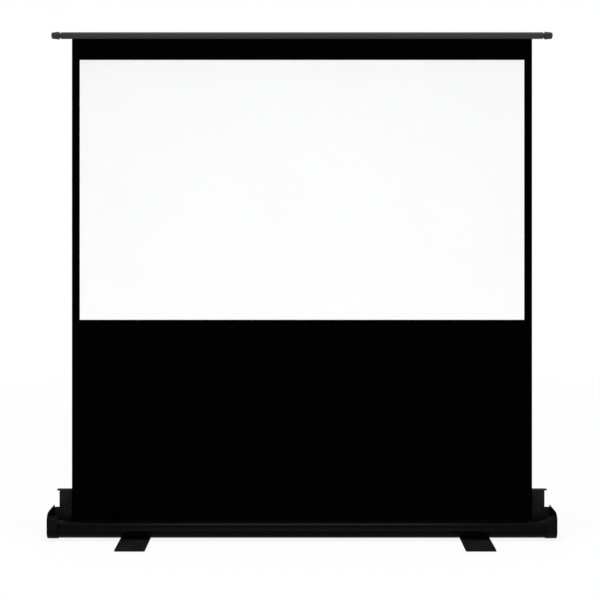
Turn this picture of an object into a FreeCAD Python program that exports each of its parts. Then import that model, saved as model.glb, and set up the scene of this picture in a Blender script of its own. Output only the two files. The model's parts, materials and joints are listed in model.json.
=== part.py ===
"""Floor-standing pull-up projection screen, in millimetres.

The origin is on the floor, under the middle of the case. X runs along the case, the front
faces -Y and Z is up. The screen is modelled raised, with the lid open and the feet turned out.
"""
import FreeCAD
import Part
import Sketcher
import os
import re

# Driving sizes: name, value, meaning
SIZES = [
    ("fabric_inset", 8, "cloth edge inside the roller tube's end"),
    ("fabric_thickness", 0.5, "cloth thickness"),
    ("fabric_back", 5, "cloth plane behind the origin"),
    ("fabric_gap", 0.3, "gap from the cloth to its roll and its bar"),
    ("bar_height", 1994.7, "centre of the raised bar above the floor"),
    ("bar_radius", 13.5, "bar tube outside radius"),
    ("bar_wall", 1.5, "bar tube wall"),
    ("bar_clear", 2, "knob end inside the end cap wall when lowered"),
    ("neck_radius", 10, "groove beside each knob"),
    ("neck_length", 7, "groove width"),
    ("plug_length", 20, "knob plug inside the bar"),
    ("plug_fit", 0.05, "knob plug clearance in the bar"),
    ("knob_radius", 15.5, "knob radius at its inner end"),
    ("knob_end_radius", 13, "knob radius at its outer end"),
    ("knob_length", 30, "knob length"),
    ("knob_round", 4, "rounding of the knob's outer edge"),
    ("knob_edge", 1.5, "rounding of the knob's inner edge"),
    ("clamp_width", 10, "cloth clamp strip inside the bar"),
    ("clamp_height", 3, "clamp strip height"),
    ("clamp_fit", 0.2, "clamp strip clearance in the bar"),
    ("slot_width", 3, "slot under the bar"),
    ("overall_length", 2002, "length over both end caps"),
    ("cap_wall", 2, "end cap side wall"),
    ("cap_length", 41, "end cap length along the case"),
    ("cap_shell", 2, "end cap sleeve thickness"),
    ("cap_fit", 0.2, "sleeve clearance on the case"),
    ("cap_height", 104, "end cap top above the case underside"),
    ("cap_corner", 30, "rounding of the cap's front top corner"),
    ("cowl_turn", 40, "degrees of that rounding that the cap's front cowl follows"),
    ("cap_rear_height", 94, "sleeve height at the back, above the case underside"),
    ("case_front", -61, "front of the case nose"),
    ("case_depth", 121, "case depth, front to back"),
    ("case_wall", 1.5, "case wall"),
    ("nose_radius", 32.4, "half-round front"),
    ("lip_length", 10.6, "flat lip behind the nose"),
    ("rear_height", 89, "rear wall above the case underside"),
    ("rear_corner", 6, "rounding along the rear bottom edge"),
    ("hinge_back", 2, "hinge axis behind the rear wall"),
    ("hinge_rise", 3.5, "hinge axis above the rear wall"),
    ("hinge_inset", 281, "outer hinges inside the lid's ends"),
    ("hinge_width", 40, "hinge leaf width"),
    ("knuckle_radius", 3, "hinge knuckle"),
    ("knuckle_width", 19.4, "middle knuckle length"),
    ("knuckle_gap", 0.3, "end gap between knuckles"),
    ("leaf_thickness", 1.2, "hinge leaf"),
    ("leaf_height", 20, "hinge leaf height on its panel"),
    ("hinge_pin_radius", 1.5, "hinge pin"),
    ("lid_offset", 2, "lid plate from the hinge axis"),
    ("lid_wall", 1.5, "lid plate"),
    ("lid_height", 75.5, "open lid above the hinge axis"),
    ("lid_apron", 5.5, "lid apron below the hinge axis, between the hinges"),
    ("apron_gap", 1, "lid apron beside each hinge"),
    ("apron_clear", 0.2, "lid apron inside the end cap sleeves"),
    ("end_apron", 4, "lid apron below the hinge axis, behind the end caps"),
    ("lid_skirt", 28, "lid skirt depth"),
    ("lid_bend", 3, "outside radius of the lid's bend"),
    ("lid_inset", 20, "lid plate inside the overall length, at each end"),
    ("skirt_inset", 15, "lid skirt inside the overall length, at each end"),
    ("roll_radius", 21, "roll of cloth left on the roller when raised"),
    ("roller_radius", 20, "roller tube outside"),
    ("roller_wall", 1.2, "roller tube wall"),
    ("roller_gap", 20, "roller tube inside each bracket"),
    ("roller_fit", 0.05, "clearance of the plugs, the spindles and the roll"),
    ("roller_plug", 25, "roller plug inside the tube"),
    ("plug_flange", 3, "roller plug flange"),
    ("spindle_radius", 5, "roller spindles"),
    ("spindle_over", 7, "spindle end outside its bracket"),
    ("spring_inset", 65, "winding spring inside the spindle's end"),
    ("spring_length", 330, "winding spring length"),
    ("spring_wall", 3, "winding spring wire"),
    ("spring_fit", 0.3, "winding spring clearance on its spindle"),
    ("idle_length", 60, "idle spindle length"),
    ("bracket_inset", 15, "roller bracket inside the end cap sleeve"),
    ("bracket_thickness", 3, "roller bracket plate"),
    ("bracket_half_width", 12, "roller bracket half width"),
    ("bracket_flange", 20, "roller bracket flange"),
    ("bracket_screw_pitch", 14, "distance between bracket screws"),
    ("screw_radius", 2, "screw shank"),
    ("screw_head_radius", 4, "screw head"),
    ("screw_head", 2, "screw head height"),
    ("screw_fit", 0.1, "screw clearance in its hole"),
    ("cap_screw_front", 0, "front cap screw behind the origin"),
    ("cap_screw_clear", 12, "rear cap screw in front of the base rail"),
    ("arm_length", 1400, "lift arm, pivot to pivot"),
    ("arm_width", 20, "lift arm width"),
    ("arm_thickness", 5, "lift arm thickness"),
    ("arm_gap", 1, "gap between the two layers of arms"),
    ("arm_back", 15, "front layer behind the cloth plane"),
    ("pivot_rise", 18, "base pivot above the case floor"),
    ("pivot_drop", 15.5, "top pivot below the bar's centre"),
    ("folded_rise", 21, "pivot-to-pivot rise of one folded stage"),
    ("pin_radius", 4, "lift pivot pin"),
    ("pin_fit", 0.05, "pin clearance in its hole"),
    ("open_fit", 0.4, "pin clearance at the left knee"),
    ("head_radius", 7, "pin head"),
    ("head_thickness", 2, "pin head thickness"),
    ("head_gap", 0.1, "running gap under a pin head"),
    ("slide_radius", 6, "slide roller"),
    ("slide_fit", 0.3, "slide roller clearance in its slot"),
    ("slide_head_radius", 9, "head behind the slide slot"),
    ("rail_thickness", 3, "rail plate"),
    ("rail_gap", 1, "rail behind the pin heads"),
    ("rail_edge", 5, "rail beyond its slot"),
    ("rail_end", 25, "rail beyond its outer pivot"),
    ("rail_flange", 13, "base rail flange"),
    ("rail_saddle", 0.2, "top rail clearance on the bar"),
    ("rail_screw_pitch", 400, "distance between base rail screws"),
    ("foot_inset", 331.5, "foot pivot inside each end of the case"),
    ("foot_shift", 12.5, "both feet to the right of the case's middle, as in the photo"),
    ("foot_width", 117, "foot plate width"),
    ("foot_length", 360, "foot plate length"),
    ("foot_thickness", 4, "foot plate thickness"),
    ("foot_corner", 6, "foot plate corner"),
    ("pad_height", 1.5, "rubber pad height"),
    ("pad_depth", 24, "rubber pad depth"),
    ("pad_margin", 5, "rubber pad inside the plate's edge"),
    ("washer_thickness", 0.5, "washer between foot and case"),
    ("washer_radius", 20, "washer radius"),
    ("bolt_radius", 5, "foot pivot bolt"),
    ("bolt_fit", 0.05, "foot pivot clearance"),
    ("bolt_head_radius", 12, "foot bolt head"),
    ("bolt_head", 1, "foot bolt head height"),
    ("nut_radius", 9, "foot bolt nut"),
    ("nut_height", 5, "foot bolt nut height"),
]

# Places that several pieces share, worked out from the sizes
CASE_UNDER = "(pad_height + foot_thickness + washer_thickness)"
CASE_FLOOR = f"({CASE_UNDER} + case_wall)"
NOSE_Y = "(case_front + nose_radius)"
NOSE_Z = f"({CASE_UNDER} + nose_radius)"
LIP_Y = f"({NOSE_Y} + lip_length)"
REAR_Y = "(case_front + case_depth)"
REAR_TOP = f"({CASE_UNDER} + rear_height)"
CAP_TOP = f"({CASE_UNDER} + cap_height)"
CAP_OUT = "(cap_fit + cap_shell)"
HALF_LENGTH = "(overall_length / 2)"
CASE_LENGTH = "(overall_length - 2 * cap_wall)"
LID_LENGTH = "(overall_length - 2 * lid_inset)"
SKIRT_LENGTH = "(overall_length - 2 * skirt_inset)"
BAR_LENGTH = f"({CASE_LENGTH} - 2 * (bar_clear + neck_length + knob_length))"
BRACKET_X = f"({HALF_LENGTH} - cap_length - bracket_inset)"
SPINDLE_END = f"({BRACKET_X} + bracket_thickness + spindle_over)"
ROLLER_LENGTH = f"(2 * ({BRACKET_X} - roller_gap))"
FABRIC_WIDTH = f"({ROLLER_LENGTH} - 2 * fabric_inset)"
HINGE_Y = f"({REAR_Y} + hinge_back)"
HINGE_Z = f"({REAR_TOP} + hinge_rise)"
ROLLER_Y = "(fabric_back - fabric_thickness / 2 - fabric_gap - roll_radius)"
ROLLER_Z = NOSE_Z
BASE_Z = f"({CASE_FLOOR} + pivot_rise)"
TOP_Z = "(bar_height - pivot_drop)"
STAGE_RISE = f"(({TOP_Z} - {BASE_Z}) / 2)"
KNEE_Z = f"({BASE_Z} + {STAGE_RISE})"
LOW_CROSS_Z = f"({BASE_Z} + {STAGE_RISE} / 2)"
HIGH_CROSS_Z = f"({KNEE_Z} + {STAGE_RISE} / 2)"
ARM_ANGLE = f"asin({STAGE_RISE} / arm_length)"
ARM_SPAN = f"(arm_length * cos({ARM_ANGLE}))"
LEFT_X = f"(0 - {ARM_SPAN} / 2)"
RIGHT_X = f"({ARM_SPAN} / 2)"
FOLDED_X = f"(arm_length * cos(asin(folded_rise / arm_length)) - {ARM_SPAN} / 2)"
FRONT_ARM_Y = "(fabric_back + arm_back)"
REAR_ARM_Y = f"({FRONT_ARM_Y} + arm_thickness + arm_gap)"
ARMS_END_Y = f"({REAR_ARM_Y} + arm_thickness)"
RAIL_Y = f"({ARMS_END_Y} + head_thickness + rail_gap)"
RAIL_END_Y = f"({RAIL_Y} + rail_thickness)"
RAIL_START_X = f"({LEFT_X} - rail_end)"
RAIL_LENGTH = f"({FOLDED_X} - {LEFT_X} + 2 * rail_end)"
RAIL_HALF = "(slide_radius + slide_fit + rail_edge)"
FOOT_X = f"({HALF_LENGTH} - foot_inset)"
CAP_SCREW_X = f"({HALF_LENGTH} - cap_length / 2)"
BRACKET_SCREW_X = f"({BRACKET_X} + bracket_thickness + bracket_flange / 2 - screw_radius)"
RAIL_SCREW_Y = f"({RAIL_END_Y} + rail_flange / 2)"
CAP_SCREWS_Y = ("cap_screw_front", f"({RAIL_Y} - cap_screw_clear)")
SIDES = {"left": "-1", "right": "1"}
RAIL_SCREWS = 4
HINGES = 3

TURNS = {
    "x": FreeCAD.Rotation(FreeCAD.Vector(0, 1, 0), 90),
    "y": FreeCAD.Rotation(FreeCAD.Vector(1, 0, 0), -90),
    "z": FreeCAD.Rotation(),
}
FULL_TURN = 360

doc = FreeCAD.newDocument("ProjectionScreen")
sheet = doc.addObject("Spreadsheet::Sheet", "Sizes")
NAMES = {name for name, value, meaning in SIZES}
sub_parts = []


def fill_sheet():
    """Write the driving sizes, each with its alias and its meaning."""
    for row, (name, value, meaning) in enumerate(SIZES, start=1):
        sheet.set(f"A{row}", name)
        sheet.set(f"B{row}", str(value))
        sheet.set(f"C{row}", meaning)
        sheet.setAlias(f"B{row}", name)
    doc.recompute()


def bound(expression):
    """Put the sheet's name in front of each size in an expression."""
    return re.sub(r"[a-z_]+", lambda word: "Sizes." + word[0] if word[0] in NAMES else word[0], expression)


def number(expression):
    """Work an expression out to a plain number."""
    return float(sheet.evalExpression(expression))


def keep(item, label):
    """Name a finished sub-part, which is then written to its own file."""
    item.Label = label
    sub_parts.append(item)
    return item


def place(item, point):
    """Bind an object's position to three expressions."""
    for axis, expression in zip("xyz", point):
        item.setExpression("Placement.Base." + axis, bound(expression))


def box(name, size, corner):
    """A box of three sizes with its lowest corner at a point."""
    item = doc.addObject("Part::Box", name)
    for key, expression in zip(("Length", "Width", "Height"), size):
        item.setExpression(key, bound(expression))
    place(item, corner)
    return item


def cylinder(name, radius, length, start, axis):
    """A cylinder along an axis, from the middle of its first face."""
    item = doc.addObject("Part::Cylinder", name)
    item.Placement = FreeCAD.Placement(FreeCAD.Vector(), TURNS[axis])
    item.setExpression("Radius", bound(radius))
    item.setExpression("Height", bound(length))
    place(item, start)
    return item


def fuse(name, pieces):
    """Join pieces into one solid."""
    item = doc.addObject("Part::MultiFuse", name)
    item.Shapes = pieces
    return item


def group(name, pieces):
    """Keep separate solids together in one sub-part."""
    item = doc.addObject("Part::Compound", name)
    item.Links = pieces
    return item


def cut(name, base, tools):
    """Take one or more tools away from a base."""
    item = doc.addObject("Part::Cut", name)
    item.Base = base
    item.Tool = tools[0] if len(tools) == 1 else group(name + "_tools", tools)
    return item


def new_body(name):
    """An empty body."""
    return doc.addObject("PartDesign::Body", name + "_body")


def sketch_on(body, role, name):
    """A sketch on one of the body's own origin planes."""
    sketch = body.newObject("Sketcher::SketchObject", name)
    plane = next(item for item in body.Origin.OriginFeatures if item.Role == role)
    sketch.AttachmentSupport = [(plane, "")]
    sketch.MapMode = "FlatFace"
    return sketch


def dimension(sketch, kind, geometry, point, expression, name):
    """Bind one coordinate or radius of a sketch to an expression."""
    value = number(expression)
    if kind == "Radius":
        index = sketch.addConstraint(Sketcher.Constraint(kind, geometry, value))
    else:
        index = sketch.addConstraint(Sketcher.Constraint(kind, geometry, point, value))
    sketch.renameConstraint(index, name)
    sketch.setExpression("Constraints." + name, bound(expression))


def draw_outline(sketch, corners):
    """Draw a closed outline through corners given as (across, up).

    A corner with three more entries, (centre across, centre up, turn), leads on by an arc,
    whose turn is 1 anticlockwise and -1 clockwise.
    """
    points = [FreeCAD.Vector(number(corner[0]), number(corner[1]), 0) for corner in corners]
    ends = []
    for index, corner in enumerate(corners):
        first = points[index]
        last = points[(index + 1) % len(points)]
        if len(corner) == 2:
            edge = sketch.addGeometry(Part.LineSegment(first, last))
            ends.append((edge, 1, 2))
            continue
        centre = FreeCAD.Vector(number(corner[2]), number(corner[3]), 0)
        turn = corner[4]
        begin, finish = (first, last) if turn > 0 else (last, first)
        circle = Part.Circle(centre, FreeCAD.Vector(0, 0, 1), (first - centre).Length)
        arc = Part.ArcOfCircle(circle, circle.parameter(begin), circle.parameter(finish))
        edge = sketch.addGeometry(arc)
        ends.append((edge, 1, 2) if turn > 0 else (edge, 2, 1))
    for index, corner in enumerate(corners):
        edge, start, end = ends[index]
        follower, follower_start, follower_end = ends[(index + 1) % len(ends)]
        sketch.addConstraint(Sketcher.Constraint("Coincident", edge, end, follower, follower_start))
        dimension(sketch, "DistanceX", edge, start, corner[0], f"across_{index}")
        dimension(sketch, "DistanceY", edge, start, corner[1], f"up_{index}")
        if len(corner) > 2:
            chord = points[(index + 1) % len(points)] - points[index]
            upright = abs(chord.y) > abs(chord.x)
            kind = "DistanceX" if upright else "DistanceY"
            dimension(sketch, kind, edge, 3, corner[2] if upright else corner[3], f"centre_{index}")


def draw_circles(sketch, circles):
    """Draw circles given as (across, up, radius)."""
    for index, (across, up, radius) in enumerate(circles):
        centre = FreeCAD.Vector(number(across), number(up), 0)
        circle = Part.Circle(centre, FreeCAD.Vector(0, 0, 1), number(radius))
        edge = sketch.addGeometry(circle)
        dimension(sketch, "DistanceX", edge, 3, across, f"circle_across_{index}")
        dimension(sketch, "DistanceY", edge, 3, up, f"circle_up_{index}")
        dimension(sketch, "Radius", edge, 0, radius, f"circle_radius_{index}")


def pad(body, sketch, length, both_ways=False, backwards=False):
    """Pad a sketch by a length, on one side or half to each side."""
    feature = body.newObject("PartDesign::Pad", sketch.Name + "_pad")
    feature.Profile = sketch
    feature.setExpression("Length", bound(length))
    feature.Midplane = both_ways
    feature.Reversed = backwards
    return feature


def drill_up(body, circles):
    """Cut round holes upwards through a body from its own XY plane."""
    doc.recompute()
    before = body.Shape.Volume
    sketch = sketch_on(body, "XY_Plane", body.Name + "_holes")
    draw_circles(sketch, circles)
    feature = body.newObject("PartDesign::Pocket", sketch.Name + "_pocket")
    feature.Profile = sketch
    feature.Type = "ThroughAll"
    feature.Reversed = True
    doc.recompute()
    if body.Shape.Volume >= before:
        raise RuntimeError(body.Name + ": the holes cut nothing")


def channel_outline(outer, inner, rear_top):
    """Section of an open channel round the case: nose, floor and rear wall.

    Outer and inner are offsets from the case's outside.
    """
    corner_y = f"({REAR_Y} - rear_corner)"
    corner_z = f"({CASE_UNDER} + rear_corner)"
    return [
        (LIP_Y, f"{NOSE_Z} + nose_radius + {outer}"),
        (NOSE_Y, f"{NOSE_Z} + nose_radius + {outer}", NOSE_Y, NOSE_Z, 1),
        (NOSE_Y, f"{CASE_UNDER} - {outer}"),
        (corner_y, f"{CASE_UNDER} - {outer}", corner_y, corner_z, 1),
        (f"{REAR_Y} + {outer}", corner_z),
        (f"{REAR_Y} + {outer}", rear_top),
        (f"{REAR_Y} + {inner}", rear_top),
        (f"{REAR_Y} + {inner}", corner_z, corner_y, corner_z, -1),
        (corner_y, f"{CASE_UNDER} - {inner}"),
        (NOSE_Y, f"{CASE_UNDER} - {inner}", NOSE_Y, NOSE_Z, -1),
        (NOSE_Y, f"{NOSE_Z} + nose_radius + {inner}"),
        (LIP_Y, f"{NOSE_Z} + nose_radius + {inner}"),
    ]


def cap_screw_places():
    """Centres of the screws under the end caps."""
    return [(f"{sign} * {CAP_SCREW_X}", depth) for sign in SIDES.values()
            for depth in CAP_SCREWS_Y]


def bracket_screw_places(sign):
    """Centres of the screws through one roller bracket's flange."""
    return [(f"{sign} * {BRACKET_SCREW_X}", f"{ROLLER_Y} + {side} * bracket_screw_pitch / 2")
            for side in (-1, 1)]


def rail_screw_places():
    """Centres of the base rail's screws, spread about the middle of the rail."""
    middle = f"({RAIL_START_X} + {RAIL_LENGTH} / 2)"
    return [(f"{middle} + ({index} - ({RAIL_SCREWS} - 1) / 2) * rail_screw_pitch", RAIL_SCREW_Y)
            for index in range(RAIL_SCREWS)]


def foot_places():
    """Centres of the foot pivots."""
    return [(f"{sign} * {FOOT_X} + foot_shift", "0") for sign in SIDES.values()]


def make_case():
    """The long extruded case with its half-round nose, open at the top."""
    body = new_body("case_body")
    sketch = sketch_on(body, "YZ_Plane", "case_section")
    draw_outline(sketch, channel_outline("0", "(0 - case_wall)", REAR_TOP))
    pad(body, sketch, CASE_LENGTH, both_ways=True)
    screws = cap_screw_places() + rail_screw_places()
    for sign in SIDES.values():
        screws += bracket_screw_places(sign)
    holes = [(across, depth, "screw_radius + screw_fit") for across, depth in screws]
    holes += [(across, depth, "bolt_radius + bolt_fit") for across, depth in foot_places()]
    drill_up(body, holes)
    keep(body, "case_body")


def make_end_cap(side):
    """A moulded cap: a side wall that stands above the case, a sleeve round the case and a front cowl."""
    sign = SIDES[side]
    body = new_body("end_cap_" + side)
    front = f"({NOSE_Y} - nose_radius - {CAP_OUT})"
    under = f"({CASE_UNDER} - {CAP_OUT})"
    rear = f"({REAR_Y} + {CAP_OUT})"
    rear_round = f"(rear_corner + {CAP_OUT})"
    corner_y = f"({front} + cap_corner)"
    corner_z = f"({CAP_TOP} - cap_corner)"
    wall = sketch_on(body, "YZ_Plane", f"cap_{side}_wall")
    draw_outline(wall, [
        (front, NOSE_Z, NOSE_Y, NOSE_Z, 1),
        (NOSE_Y, under),
        (f"{rear} - {rear_round}", under, f"{rear} - {rear_round}", f"{under} + {rear_round}", 1),
        (rear, f"{under} + {rear_round}"),
        (rear, f"{CAP_TOP} - rear_corner", f"{rear} - rear_corner", f"{CAP_TOP} - rear_corner", 1),
        (f"{rear} - rear_corner", CAP_TOP),
        (corner_y, CAP_TOP, corner_y, corner_z, 1),
        (front, corner_z),
    ])
    pad(body, wall, "cap_wall", backwards=side == "right")
    sleeve = sketch_on(body, "YZ_Plane", f"cap_{side}_sleeve")
    draw_outline(sleeve, channel_outline(CAP_OUT, "cap_fit", f"{CASE_UNDER} + cap_rear_height"))
    pad(body, sleeve, "cap_length", backwards=side == "right")
    inside = f"({front} + cap_shell)"
    inner_end, outer_end = ((f"{corner_y} - {radius} * cos(cowl_turn)", f"{corner_z} + {radius} * sin(cowl_turn)")
                            for radius in ("(cap_corner - cap_shell)", "cap_corner"))
    cowl = sketch_on(body, "YZ_Plane", f"cap_{side}_cowl")
    draw_outline(cowl, [
        (front, NOSE_Z),
        (inside, NOSE_Z),
        (inside, corner_z, corner_y, corner_z, -1),
        inner_end,
        (*outer_end, corner_y, corner_z, 1),
        (front, corner_z),
    ])
    pad(body, cowl, "cap_length", backwards=side == "right")
    place(body, (f"{sign} * {HALF_LENGTH}", "0", "0"))
    inward = f"({sign} * (0 - cap_length / 2))"
    drill_up(body, [(inward, depth, "screw_radius + screw_fit") for depth in CAP_SCREWS_Y])
    keep(body, "end_cap_" + side)


def screw(name, place_xy, head_z, end_z):
    """A pan-head screw along Z. Its head stands away from its far end."""
    across, depth = place_xy
    head_below = number(head_z) < number(end_z)
    head_start = f"{head_z} - screw_head" if head_below else head_z
    shank_start = head_z if head_below else end_z
    shank_length = f"{end_z} - ({head_z})" if head_below else f"{head_z} - ({end_z})"
    head = cylinder(name + "_head", "screw_head_radius", "screw_head", (across, depth, head_start), "z")
    shank = cylinder(name + "_shank", "screw_radius", shank_length, (across, depth, shank_start), "z")
    return fuse(name, [head, shank])


def make_screws():
    """Screws of the end caps, the roller brackets and the base rail."""
    cap_under = f"({CASE_UNDER} - {CAP_OUT})"
    caps = [screw(f"cap_screw_{index}", spot, cap_under, f"{CASE_FLOOR} + screw_head")
            for index, spot in enumerate(cap_screw_places())]
    keep(group("cap_screw_group", caps), "end_cap_screws")
    spots = [spot for sign in SIDES.values() for spot in bracket_screw_places(sign)]
    brackets = [screw(f"bracket_screw_{index}", spot, f"({CASE_FLOOR} + bracket_thickness)", CASE_UNDER)
                for index, spot in enumerate(spots)]
    keep(group("bracket_screw_group", brackets), "bracket_screws")
    rails = [screw(f"rail_screw_{index}", spot, f"({CASE_FLOOR} + rail_thickness)", CASE_UNDER)
             for index, spot in enumerate(rail_screw_places())]
    keep(group("rail_screw_group", rails), "base_rail_screws")


def make_roller():
    """The cloth's roller: tube, end plugs and the turns of cloth that stay on it."""
    start = (f"0 - {ROLLER_LENGTH} / 2", ROLLER_Y, ROLLER_Z)
    tube = cylinder("roller_outside", "roller_radius", ROLLER_LENGTH, start, "x")
    bore = cylinder("roller_bore", "roller_radius - roller_wall", ROLLER_LENGTH, start, "x")
    keep(cut("roller", tube, [bore]), "roller_tube")
    roll_start = (f"0 - {FABRIC_WIDTH} / 2", ROLLER_Y, ROLLER_Z)
    roll = cylinder("roll_outside", "roll_radius", FABRIC_WIDTH, roll_start, "x")
    core = cylinder("roll_core", "roller_radius + roller_fit", FABRIC_WIDTH, roll_start, "x")
    keep(cut("roll", roll, [core]), "fabric_roll")
    for side, sign in SIDES.items():
        end = f"({ROLLER_LENGTH} / 2)"
        reach = f"(0 - {end} - plug_flange)" if side == "left" else end
        inside = f"(0 - {end})" if side == "left" else f"({end} - roller_plug)"
        flange = cylinder(f"plug_{side}_flange", "roller_radius", "plug_flange",
                          (reach, ROLLER_Y, ROLLER_Z), "x")
        plug = cylinder(f"plug_{side}_core", "roller_radius - roller_wall - roller_fit", "roller_plug",
                        (inside, ROLLER_Y, ROLLER_Z), "x")
        whole = fuse(f"plug_{side}_whole", [flange, plug])
        through = cylinder(f"plug_{side}_bore", "spindle_radius + roller_fit", ROLLER_LENGTH,
                           (f"{sign} * {end} - {end}", ROLLER_Y, ROLLER_Z), "x")
        keep(cut(f"plug_{side}", whole, [through]), f"roller_plug_{side}")


def make_roller_supports():
    """Fixed spindles, the winding spring round one of them, and the brackets that hold them."""
    spring_end = f"({SPINDLE_END} - spring_inset)"
    spindle = cylinder("spring_shaft", "spindle_radius", "spring_inset + spring_length",
                       (f"0 - {SPINDLE_END}", ROLLER_Y, ROLLER_Z), "x")
    keep(spindle, "spring_spindle")
    idle = cylinder("idle_shaft", "spindle_radius", "idle_length",
                    (f"{SPINDLE_END} - idle_length", ROLLER_Y, ROLLER_Z), "x")
    keep(idle, "idle_spindle")
    spring_place = (f"0 - {spring_end}", ROLLER_Y, ROLLER_Z)
    coil = cylinder("spring_outside", "spindle_radius + spring_fit + spring_wall", "spring_length",
                    spring_place, "x")
    hollow = cylinder("spring_bore", "spindle_radius + spring_fit", "spring_length", spring_place, "x")
    keep(cut("spring", coil, [hollow]), "roller_spring")
    for side, sign in SIDES.items():
        plate_x = f"(0 - {BRACKET_X} - bracket_thickness)" if side == "left" else BRACKET_X
        flange_x = f"({plate_x} - bracket_flange)" if side == "left" else f"({plate_x} + bracket_thickness)"
        front = f"{ROLLER_Y} - bracket_half_width"
        plate = box(f"bracket_{side}_plate",
                    ("bracket_thickness", "2 * bracket_half_width",
                     f"{ROLLER_Z} + bracket_half_width - {CASE_FLOOR}"),
                    (plate_x, front, CASE_FLOOR))
        flange = box(f"bracket_{side}_flange",
                     ("bracket_flange", "2 * bracket_half_width", "bracket_thickness"),
                     (flange_x, front, CASE_FLOOR))
        whole = fuse(f"bracket_{side}_whole", [plate, flange])
        holes = [cylinder(f"bracket_{side}_bore", "spindle_radius + roller_fit", "bracket_thickness",
                          (plate_x, ROLLER_Y, ROLLER_Z), "x")]
        for index, (across, depth) in enumerate(bracket_screw_places(sign)):
            holes.append(cylinder(f"bracket_{side}_hole_{index}", "screw_radius + screw_fit",
                                  "bracket_thickness", (across, depth, CASE_FLOOR), "z"))
        keep(cut(f"bracket_{side}", whole, holes), f"roller_bracket_{side}")


def make_fabric():
    """The raised cloth, from its roll up to the bar."""
    top = "(bar_height - bar_radius - fabric_gap)"
    cloth = box("cloth", (FABRIC_WIDTH, "fabric_thickness", f"{top} - {ROLLER_Z}"),
                (f"0 - {FABRIC_WIDTH} / 2", "fabric_back - fabric_thickness / 2", ROLLER_Z))
    keep(cloth, "screen_fabric")


def make_bar():
    """The top bar with its knobs and the clamp strip that holds the cloth's hem."""
    start = (f"0 - {BAR_LENGTH} / 2", "fabric_back", "bar_height")
    tube = cylinder("bar_outside", "bar_radius", BAR_LENGTH, start, "x")
    bore = cylinder("bar_bore", "bar_radius - bar_wall", BAR_LENGTH, start, "x")
    slot = box("bar_slot", (BAR_LENGTH, "slot_width", "bar_radius"),
               (f"0 - {BAR_LENGTH} / 2", "fabric_back - slot_width / 2", "bar_height - bar_radius"))
    keep(cut("bar", tube, [bore, slot]), "top_bar")
    clamp_low = "(bar_height - sqrt((bar_radius - bar_wall) ^ 2 - (clamp_width / 2) ^ 2) + clamp_fit)"
    clamp = box("clamp", (FABRIC_WIDTH, "clamp_width", "clamp_height"),
                (f"0 - {FABRIC_WIDTH} / 2", "fabric_back - clamp_width / 2", clamp_low))
    keep(clamp, "fabric_clamp_strip")
    for side, sign in SIDES.items():
        make_knob(side, sign)


def make_knob(side, sign):
    """A tapered end knob with a groove beside it and a plug that fits the bar."""
    body = new_body("bar_knob_" + side)
    sketch = sketch_on(body, "XY_Plane", f"knob_{side}_section")
    plug = "(bar_radius - bar_wall - plug_fit)"
    end = "(neck_length + knob_length)"
    draw_outline(sketch, [
        ("0 - plug_length", "0"),
        (end, "0"),
        (end, "knob_end_radius - knob_round", f"{end} - knob_round", "knob_end_radius - knob_round", 1),
        (f"{end} - knob_round", "knob_end_radius"),
        ("neck_length + knob_edge", "knob_radius", "neck_length + knob_edge", "knob_radius - knob_edge", 1),
        ("neck_length", "knob_radius - knob_edge"),
        ("neck_length", "neck_radius"),
        ("0", "neck_radius"),
        ("0", plug),
        ("0 - plug_length", plug),
    ])
    feature = body.newObject("PartDesign::Revolution", f"knob_{side}_turn")
    feature.Profile = sketch
    feature.ReferenceAxis = (sketch, ["H_Axis"])
    feature.Angle = FULL_TURN
    half_turn = FULL_TURN / 2 if side == "left" else 0
    body.Placement = FreeCAD.Placement(FreeCAD.Vector(), FreeCAD.Rotation(FreeCAD.Vector(0, 0, 1), half_turn))
    place(body, (f"{sign} * {BAR_LENGTH} / 2", "fabric_back", "bar_height"))
    keep(body, "bar_knob_" + side)


def make_arm(label, pivot, angle, loose_start=False):
    """A lift arm from its lower pivot, drilled at both ends and in the middle."""
    body = new_body(label)
    sketch = sketch_on(body, "XZ_Plane", label + "_outline")
    draw_outline(sketch, [
        ("0", "arm_width / 2", "0", "0", 1),
        ("0", "0 - arm_width / 2"),
        ("arm_length", "0 - arm_width / 2", "arm_length", "0", 1),
        ("arm_length", "arm_width / 2"),
    ])
    start_fit = "open_fit" if loose_start else "pin_fit"
    draw_circles(sketch, [
        ("0", "0", f"pin_radius + {start_fit}"),
        ("arm_length / 2", "0", "pin_radius + pin_fit"),
        ("arm_length", "0", "pin_radius + pin_fit"),
    ])
    pad(body, sketch, "arm_thickness", backwards=True)
    body.Placement = FreeCAD.Placement(FreeCAD.Vector(), FreeCAD.Rotation(FreeCAD.Vector(0, -1, 0), 1))
    body.setExpression("Placement.Rotation.Angle", bound(angle))
    place(body, pivot)
    keep(body, label)


def make_arms():
    """Two crossed pairs of arms, one pair above the other, in two layers."""
    rising_left = f"180 deg - {ARM_ANGLE}"
    make_arm("lower_arm_a", (LEFT_X, FRONT_ARM_Y, BASE_Z), ARM_ANGLE)
    make_arm("lower_arm_b", (RIGHT_X, REAR_ARM_Y, BASE_Z), rising_left)
    make_arm("upper_arm_a", (LEFT_X, FRONT_ARM_Y, KNEE_Z), ARM_ANGLE, loose_start=True)
    make_arm("upper_arm_b", (RIGHT_X, REAR_ARM_Y, KNEE_Z), rising_left)


def stepped_pin(label, across, up, stretches):
    """A pin along Y made of stretches given as (radius, first y, last y)."""
    pieces = [cylinder(f"{label}_stretch_{index}", radius, f"{last} - ({first})", (across, first, up), "y")
              for index, (radius, first, last) in enumerate(stretches)]
    keep(fuse(label + "_pin", pieces), label)


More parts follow.
